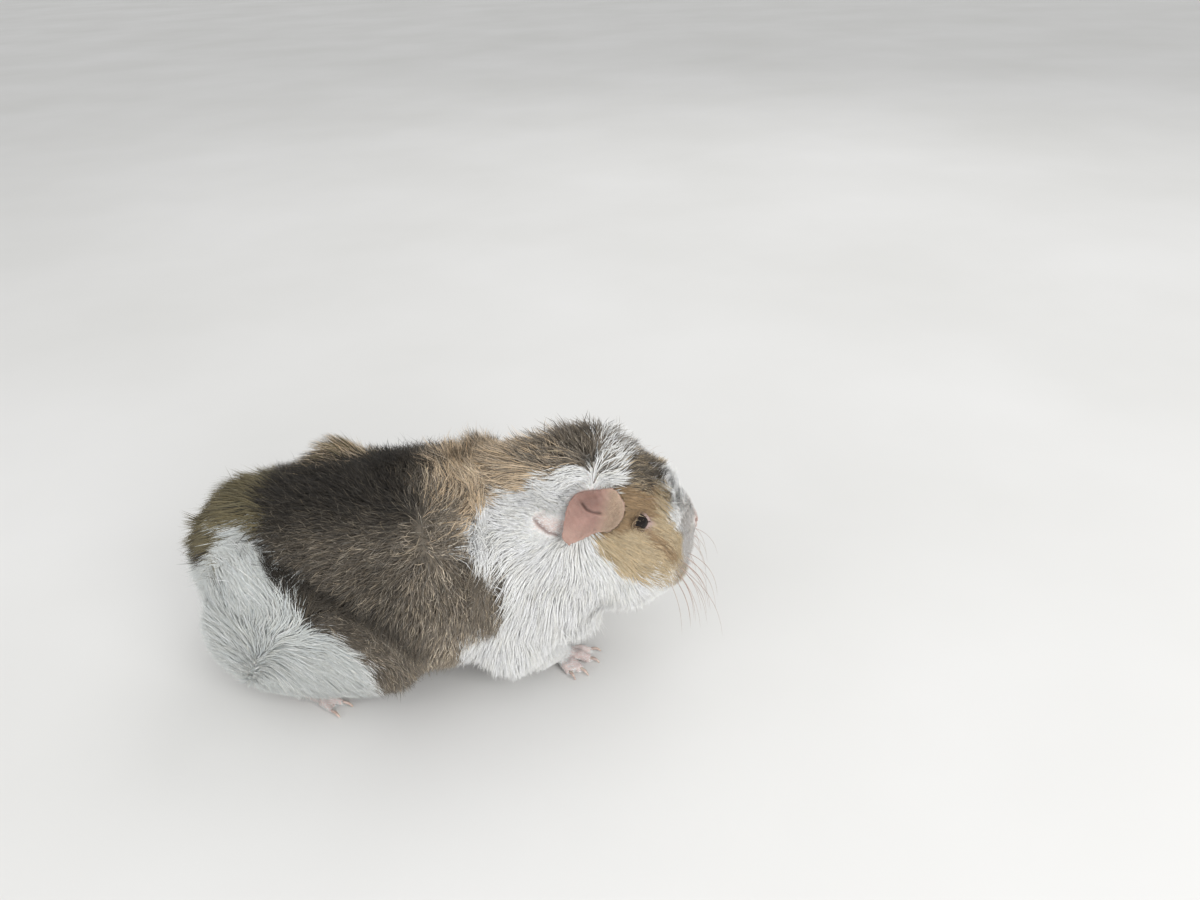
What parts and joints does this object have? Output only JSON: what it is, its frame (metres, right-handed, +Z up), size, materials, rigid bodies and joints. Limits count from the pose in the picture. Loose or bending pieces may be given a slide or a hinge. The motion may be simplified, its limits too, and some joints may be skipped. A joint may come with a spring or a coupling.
{
  "type": "guinea pig",
  "caption": "Still model of a crouching guinea pig with a rosetted, patched coat, drooping ears and clawed feet flat on the floor.",
  "frame": {"origin": "on the floor, under the middle of the bounding box", "axes": "+X towards the nose, +Y towards the animal's left, +Z up"},
  "size_m": [0.247, 0.1158, 0.128],
  "materials": {
    "coat_agouti": "dense rough hair, ticked grey-brown",
    "coat_white": "dense soft white hair",
    "coat_cream": "short cream hair",
    "bare_skin": "pink bare skin",
    "eye": "wet, nearly black",
    "claw": "pale horn"
  },
  "bodies": {
    "root": {"trunk": "coat_agouti", "neck": "coat_white", "head": "coat_cream", "haunch_left": "coat_white", "foreleg_left": "coat_white", "foot_hind_left": "bare_skin", "foot_fore_left": "bare_skin", "ear_left": "bare_skin", "eye_left": "eye", "claw_hind_left_1": "claw", "claw_hind_left_2": "claw", "claw_hind_left_3": "claw", "claw_fore_left_1": "claw", "claw_fore_left_2": "claw", "claw_fore_left_3": "claw", "claw_fore_left_4": "claw", "haunch_right": "coat_white", "foreleg_right": "coat_white", "foot_hind_right": "bare_skin", "foot_fore_right": "bare_skin", "ear_right": "bare_skin", "eye_right": "eye", "claw_hind_right_1": "claw", "claw_hind_right_2": "claw", "claw_hind_right_3": "claw", "claw_fore_right_1": "claw", "claw_fore_right_2": "claw", "claw_fore_right_3": "claw", "claw_fore_right_4": "claw"}
  },
  "joints": []
}
